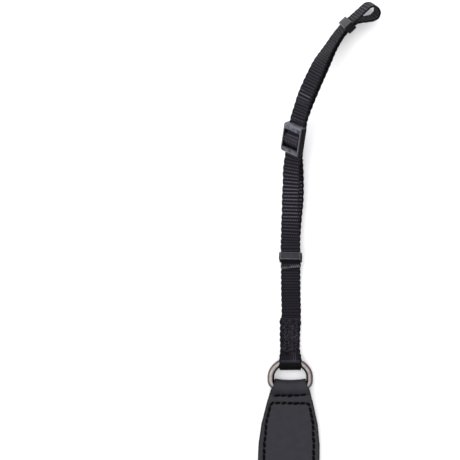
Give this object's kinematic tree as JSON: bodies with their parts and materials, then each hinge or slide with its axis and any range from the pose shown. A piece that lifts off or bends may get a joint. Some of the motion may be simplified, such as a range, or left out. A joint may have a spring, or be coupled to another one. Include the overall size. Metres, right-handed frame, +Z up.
{
  "type": "camera neck strap",
  "caption": "Leather and webbing neck strap with D-rings, sliding adjusters, keepers and lug loops, lying open as a long U.",
  "frame": {"origin": "centre of the strap's bounding box in plan, on the surface that it lies on", "axes": "+Y from the bend of the U (the nape) to the lug loops, +X to the right arm seen from above, +Z up from the surface"},
  "size_m": [0.284, 0.5274, 0.0412],
  "materials": {
    "leather": "dark grey grained leather, satin, with painted edges and black thread",
    "leather_backing": "dark matt leather",
    "webbing": "black ribbed nylon webbing, slightly glossy",
    "ring_steel": "plated steel wire, smooth, gunmetal",
    "plastic": "moulded black plastic, fine satin"
  },
  "bodies": {
    "root": {"pad_face": "leather", "pad_backing": "leather_backing", "d_ring_left": "ring_steel", "d_ring_right": "ring_steel", "webbing_left": "webbing", "webbing_right": "webbing", "adjuster_left": "plastic", "adjuster_right": "plastic", "keeper_lower_left": "plastic", "keeper_lower_right": "plastic", "keeper_upper_left": "plastic", "keeper_upper_right": "plastic"}
  },
  "joints": []
}
